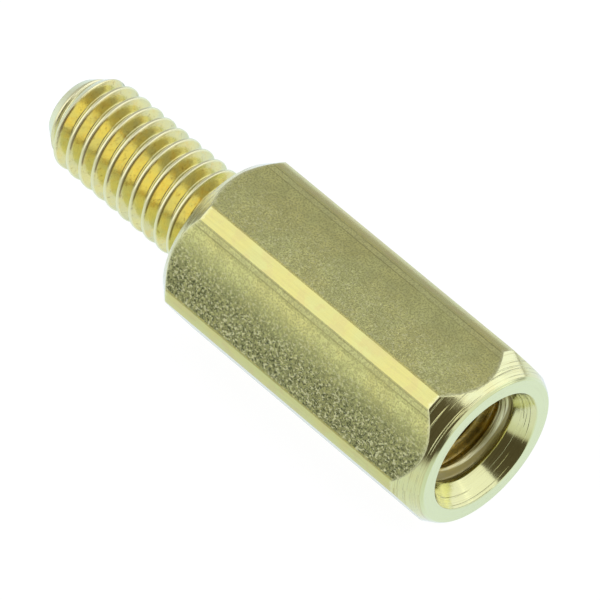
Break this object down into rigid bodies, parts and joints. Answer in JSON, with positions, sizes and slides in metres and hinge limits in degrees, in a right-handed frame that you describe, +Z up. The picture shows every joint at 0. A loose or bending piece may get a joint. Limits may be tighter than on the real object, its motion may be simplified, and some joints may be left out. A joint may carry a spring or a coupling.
{
  "type": "hex standoff",
  "caption": "Male-female hex standoff: a hexagonal spacer body with a threaded stud at one end and a countersunk, tapped blind hole in the other.",
  "frame": {"origin": "on the axis, in the shoulder plane that the stud seats against", "axes": "+X along the axis, from the stud towards the mouth of the tapped hole; +Z up, square to the flat that it lies on"},
  "size_m": [0.016, 0.0054, 0.005],
  "materials": {
    "brass": "bare drawn and turned brass, slightly dulled and pitted on the flats, with turning marks at the ends"
  },
  "bodies": {
    "root": {"hex_standoff": "brass"}
  },
  "joints": []
}
